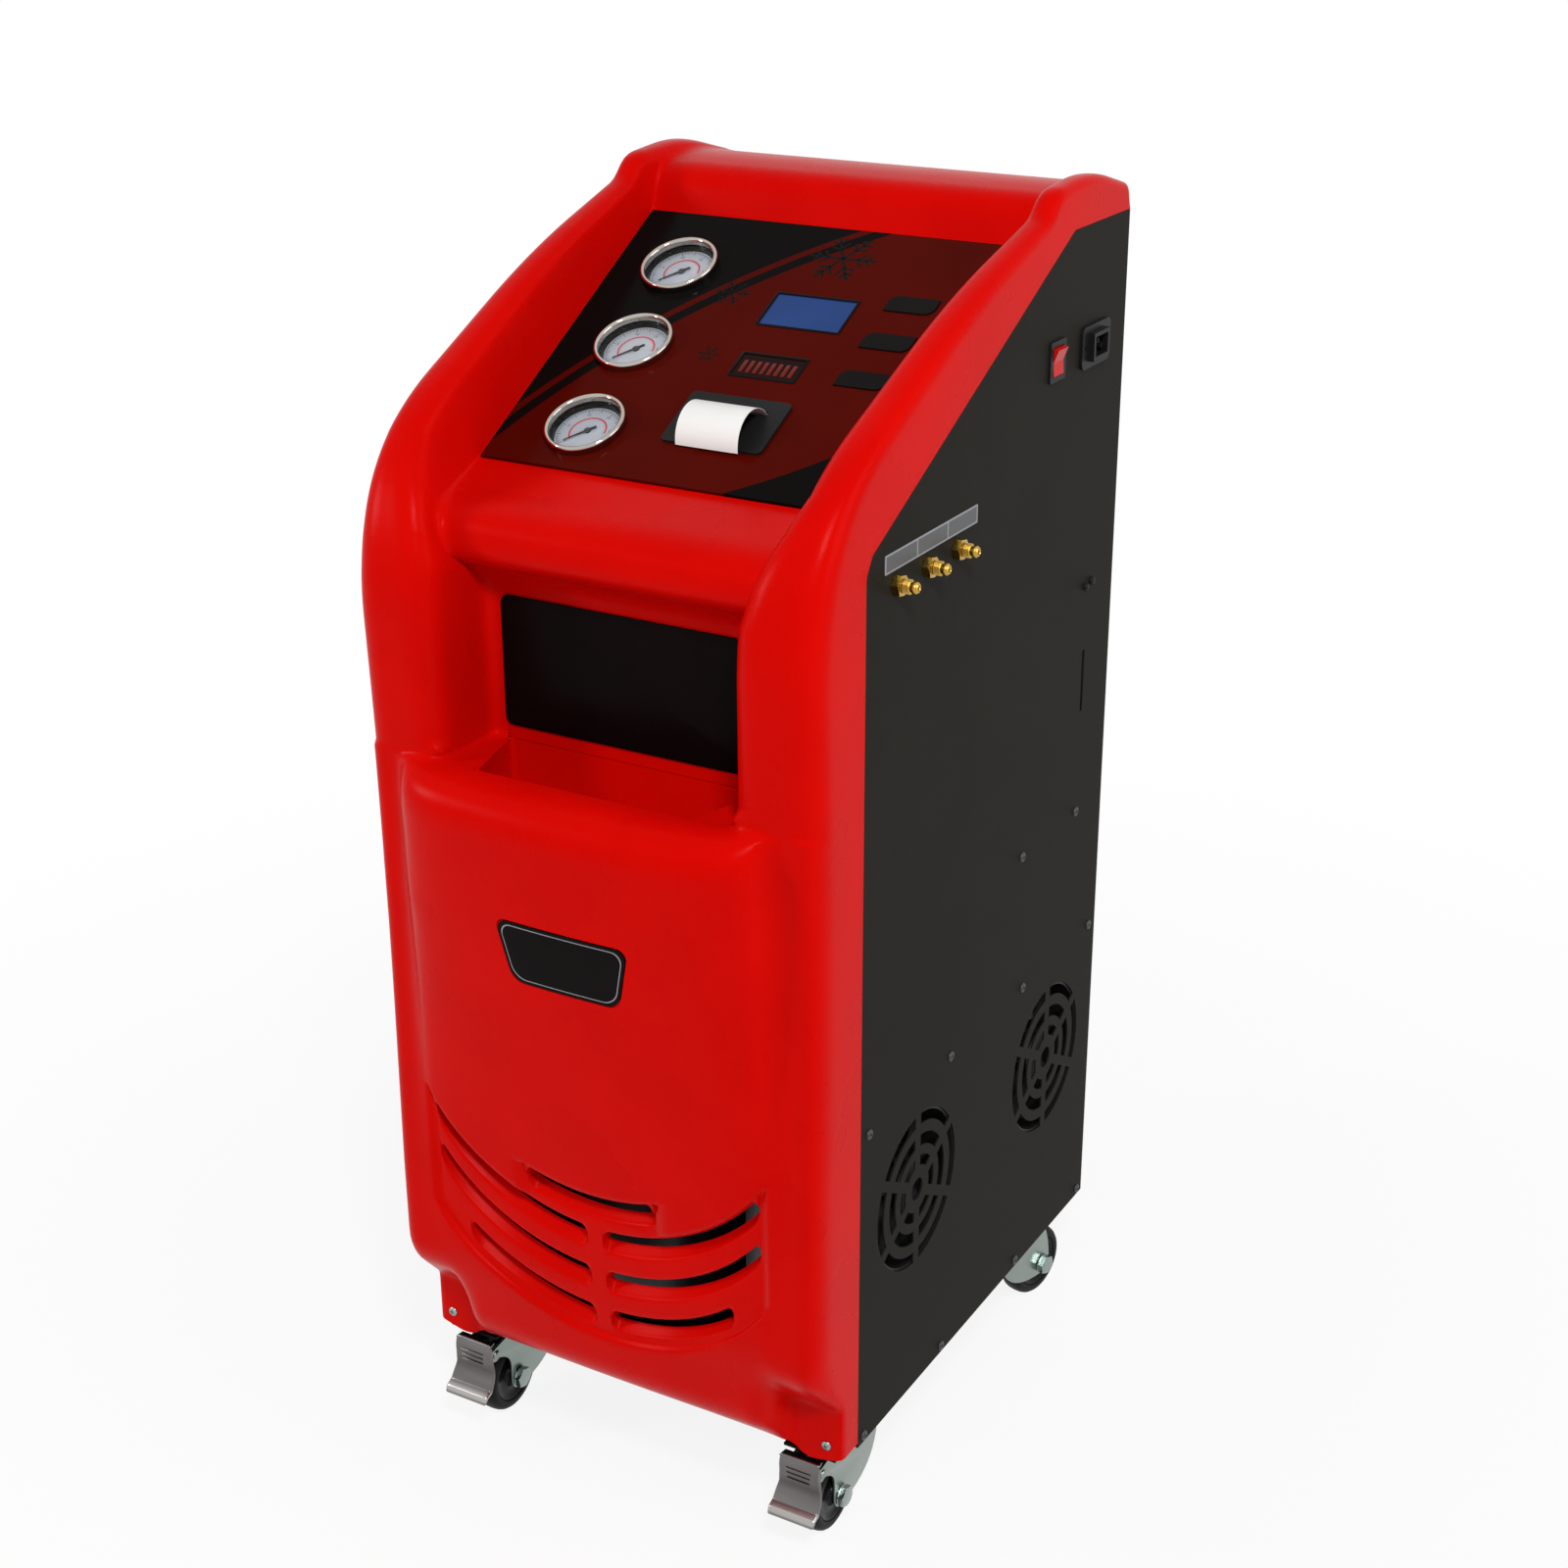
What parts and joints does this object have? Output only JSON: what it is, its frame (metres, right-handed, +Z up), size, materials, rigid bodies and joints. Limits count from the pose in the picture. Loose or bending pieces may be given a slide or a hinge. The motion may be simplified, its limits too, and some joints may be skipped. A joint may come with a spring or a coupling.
{
  "type": "refrigerant recovery machine",
  "caption": "Wheeled refrigerant recovery machine with a moulded red front, sloping panel with dial gauges, display, keys and printer, side ports, and casters.",
  "frame": {"origin": "on the floor, under the middle of the cabinet's side panels", "axes": "+X to the machine's right as the user faces its front, +Y from the front to the back, +Z up"},
  "size_m": [0.4453, 0.5866, 1.1131],
  "materials": {
    "shell": "satin moulded, fine grain",
    "sheet": "fine textured powder coat",
    "frame": "zinc plated",
    "pedal": "pressed, zinc plated",
    "bolt": "zinc plated",
    "screw": "black oxide",
    "tyre": "matte",
    "panel": "printed acrylic",
    "glass": "blue display",
    "lamp": "smoked window",
    "chrome": "polished",
    "dial": "printed dial",
    "lens": "clear",
    "black_plastic": "moulded",
    "rocker": "moulded",
    "paper": "thermal paper",
    "brass": "turned",
    "alloy": "machined",
    "tank": "gloss enamel",
    "motor": "enamel",
    "pump": "enamel",
    "bottle": "translucent",
    "board": "circuit board"
  },
  "bodies": {
    "cabinet": {"base_tray": "sheet", "inner_frame": "frame", "right_side_panel": "sheet", "left_side_panel": "sheet", "back_panel": "sheet", "front_shell": "shell", "control_overlay": "panel", "display_module": "glass", "indicator_bar": "lamp", "gauge_cases": "black_plastic", "gauge_dials": "dial", "gauge_lenses": "lens", "gauge_bezels": "chrome", "printer_body": "black_plastic", "paper_strip": "paper", "service_ports": "brass", "valve_manifold": "alloy", "solenoid_valves": "black_plastic", "switch_frame": "black_plastic", "power_inlet": "black_plastic", "fan_frames": "black_plastic", "panel_screws": "screw", "shell_screws": "bolt", "refrigerant_tank": "tank", "tank_scale": "frame", "compressor": "motor", "vacuum_pump": "pump", "condenser": "alloy", "filter_drier": "brass", "oil_separator": "tank", "oil_bottle": "bottle", "control_board": "board", "power_supply": "alloy", "caster_plates": "frame"},
    "upper_needle": {"upper_needle": "black_plastic"},
    "middle_needle": {"middle_needle": "black_plastic"},
    "lower_needle": {"lower_needle": "black_plastic"},
    "upper_key": {"upper_key": "black_plastic"},
    "middle_key": {"middle_key": "black_plastic"},
    "lower_key": {"lower_key": "black_plastic"},
    "paper_roll": {"paper_roll": "paper"},
    "switch_rocker": {"switch_rocker": "rocker"},
    "front_fan_rotor": {"front_fan_rotor": "black_plastic"},
    "rear_fan_rotor": {"rear_fan_rotor": "black_plastic"},
    "caster_front_right": {"fork_front_right": "frame", "axle_front_right": "bolt"},
    "wheel_front_right": {"wheel_front_right": "tyre"},
    "caster_front_left": {"fork_front_left": "frame", "axle_front_left": "bolt"},
    "wheel_front_left": {"wheel_front_left": "tyre"},
    "caster_rear_right": {"fork_rear_right": "frame", "axle_rear_right": "bolt"},
    "wheel_rear_right": {"wheel_rear_right": "tyre"},
    "caster_rear_left": {"fork_rear_left": "frame", "axle_rear_left": "bolt"},
    "wheel_rear_left": {"wheel_rear_left": "tyre"},
    "pedal_right": {"pedal_right": "pedal"},
    "pedal_left": {"pedal_left": "pedal"}
  },
  "joints": [
    {"name": "upper_gauge", "type": "hinge", "parent": "cabinet", "child": "upper_needle", "pos_m": [-0.1137, 0.03104, 1.02764], "axis": [0, 0.4621, -0.8868], "range_deg": [0, 270]},
    {"name": "middle_gauge", "type": "hinge", "parent": "cabinet", "child": "middle_needle", "pos_m": [-0.1026, -0.05941, 0.9805], "axis": [0, 0.4621, -0.8868], "range_deg": [0, 270]},
    {"name": "lower_gauge", "type": "hinge", "parent": "cabinet", "child": "lower_needle", "pos_m": [-0.0916, -0.14987, 0.93337], "axis": [0, 0.4621, -0.8868], "range_deg": [0, 270]},
    {"name": "upper_key_press", "type": "slide", "parent": "cabinet", "child": "upper_key", "axis": [0, 0.4621, -0.8868], "range_m": [0, 0.0008], "stiffness_N_per_m": 1500, "springref_m": -0.0002},
    {"name": "middle_key_press", "type": "slide", "parent": "cabinet", "child": "middle_key", "axis": [0, 0.4621, -0.8868], "range_m": [0, 0.0008], "stiffness_N_per_m": 1500, "springref_m": -0.0002},
    {"name": "lower_key_press", "type": "slide", "parent": "cabinet", "child": "lower_key", "axis": [0, 0.4621, -0.8868], "range_m": [0, 0.0008], "stiffness_N_per_m": 1500, "springref_m": -0.0002},
    {"name": "paper_roll_turn", "type": "hinge", "parent": "cabinet", "child": "paper_roll", "pos_m": [0.026, -0.11483, 0.92456], "axis": [1, 0, 0], "continuous": true},
    {"name": "switch_rock", "type": "hinge", "parent": "cabinet", "child": "switch_rocker", "pos_m": [0.2105, 0.091, 0.973], "axis": [0, -1, 0], "range_deg": [0, 18]},
    {"name": "front_fan_spin", "type": "hinge", "parent": "cabinet", "child": "front_fan_rotor", "pos_m": [0.1885, -0.132, 0.304], "axis": [1, 0, 0], "continuous": true},
    {"name": "rear_fan_spin", "type": "hinge", "parent": "cabinet", "child": "rear_fan_rotor", "pos_m": [0.1885, 0.131, 0.304], "axis": [1, 0, 0], "continuous": true},
    {"name": "front_right_swivel", "type": "hinge", "parent": "cabinet", "child": "caster_front_right", "pos_m": [0.171, -0.1976, 0.089], "axis": [0, 0, 1], "continuous": true},
    {"name": "front_right_roll", "type": "hinge", "parent": "caster_front_right", "child": "wheel_front_right", "pos_m": [0.171, -0.2216, 0.036], "axis": [1, 0, 0], "continuous": true},
    {"name": "front_left_swivel", "type": "hinge", "parent": "cabinet", "child": "caster_front_left", "pos_m": [-0.171, -0.1976, 0.089], "axis": [0, 0, 1], "continuous": true},
    {"name": "front_left_roll", "type": "hinge", "parent": "caster_front_left", "child": "wheel_front_left", "pos_m": [-0.171, -0.2216, 0.036], "axis": [1, 0, 0], "continuous": true},
    {"name": "rear_right_swivel", "type": "hinge", "parent": "cabinet", "child": "caster_rear_right", "pos_m": [0.171, 0.169, 0.089], "axis": [0, 0, 1], "continuous": true},
    {"name": "rear_right_roll", "type": "hinge", "parent": "caster_rear_right", "child": "wheel_rear_right", "pos_m": [0.17599, 0.19248, 0.036], "axis": [-0.9781, 0.2079, 0], "continuous": true},
    {"name": "rear_left_swivel", "type": "hinge", "parent": "cabinet", "child": "caster_rear_left", "pos_m": [-0.171, 0.169, 0.089], "axis": [0, 0, 1], "continuous": true},
    {"name": "rear_left_roll", "type": "hinge", "parent": "caster_rear_left", "child": "wheel_rear_left", "pos_m": [-0.17599, 0.19248, 0.036], "axis": [-0.9781, -0.2079, 0], "continuous": true},
    {"name": "right_brake", "type": "hinge", "parent": "caster_front_right", "child": "pedal_right", "pos_m": [0.171, -0.2546, 0.08], "axis": [-1, 0, 0], "range_deg": [0, 12]},
    {"name": "left_brake", "type": "hinge", "parent": "caster_front_left", "child": "pedal_left", "pos_m": [-0.171, -0.2546, 0.08], "axis": [-1, 0, 0], "range_deg": [0, 12]}
  ]
}
